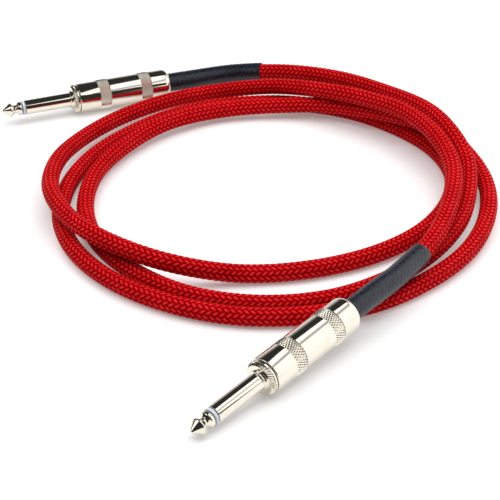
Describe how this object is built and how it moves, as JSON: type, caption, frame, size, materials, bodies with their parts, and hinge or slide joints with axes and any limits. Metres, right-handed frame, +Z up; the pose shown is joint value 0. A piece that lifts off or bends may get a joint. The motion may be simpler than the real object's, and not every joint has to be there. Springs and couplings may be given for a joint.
{
  "type": "instrument cable",
  "caption": "Coiled braided instrument lead with a straight quarter-inch mono plug on each end, screw-off plug barrels and heat-shrink strain reliefs.",
  "frame": {"origin": "middle of the bounding box, on the surface that the coil lies on", "axes": "+Z up; +Y away from the viewer, the longest side; +X to the viewer's right"},
  "size_m": [0.2064, 0.2651, 0.022],
  "materials": {
    "red_braid": "matt woven polyester braid",
    "nickel": "polished nickel plate",
    "tip_insulator": "satin moulded",
    "tinned_brass": "tinned sheet",
    "fibre_washer": "matt fibre board",
    "core_insulation": "satin",
    "copper": "bare stranded copper",
    "solder": "bright solder",
    "cable_jacket": "satin",
    "liner_film": "satin film",
    "heat_shrink": "satin heat-shrink"
  },
  "bodies": {
    "root": {"braided_cable": "red_braid", "front_tip_contact": "nickel", "front_tip_insulator": "tip_insulator", "front_sleeve_body": "nickel", "front_ground_terminal": "tinned_brass", "front_terminal_washer": "fibre_washer", "front_tip_terminal": "tinned_brass", "front_tip_rivet": "nickel", "front_core_insulation": "core_insulation", "front_centre_conductor": "copper", "front_tip_solder": "solder", "front_shield_pigtail": "copper", "front_ground_solder": "solder", "front_jacket_end": "cable_jacket", "front_shrink_boot": "heat_shrink", "rear_tip_contact": "nickel", "rear_tip_insulator": "tip_insulator", "rear_sleeve_body": "nickel", "rear_ground_terminal": "tinned_brass", "rear_terminal_washer": "fibre_washer", "rear_tip_terminal": "tinned_brass", "rear_tip_rivet": "nickel", "rear_core_insulation": "core_insulation", "rear_centre_conductor": "copper", "rear_tip_solder": "solder", "rear_shield_pigtail": "copper", "rear_ground_solder": "solder", "rear_jacket_end": "cable_jacket", "rear_shrink_boot": "heat_shrink"},
    "front_liner_carrier": {"front_insulating_liner": "liner_film"},
    "front_screw_barrel": {"front_barrel": "nickel"},
    "rear_liner_carrier": {"rear_insulating_liner": "liner_film"},
    "rear_screw_barrel": {"rear_barrel": "nickel"}
  },
  "joints": [
    {"name": "front_barrel_travel", "type": "slide", "parent": "root", "child": "front_liner_carrier", "axis": [0.6703, 0.7362, 0.0927], "range_m": [0, 0.006]},
    {"name": "front_barrel_unscrew", "type": "hinge", "parent": "front_liner_carrier", "child": "front_screw_barrel", "pos_m": [0.0274, -0.08812, 0.00902], "axis": [0.6703, 0.7362, 0.0927], "range_deg": [0, 2160]},
    {"name": "rear_barrel_travel", "type": "slide", "parent": "root", "child": "rear_liner_carrier", "axis": [0.92, 0.3918, 0], "range_m": [0, 0.006]},
    {"name": "rear_barrel_unscrew", "type": "hinge", "parent": "rear_liner_carrier", "child": "rear_screw_barrel", "pos_m": [-0.04798, 0.11328, 0.00675], "axis": [0.92, 0.3918, 0], "range_deg": [0, 2160]}
  ],
  "couplings": [
    {"joint": "front_barrel_unscrew", "follows": "front_barrel_travel", "rad_per_m": 6283.2},
    {"joint": "rear_barrel_unscrew", "follows": "rear_barrel_travel", "rad_per_m": 6283.2}
  ]
}
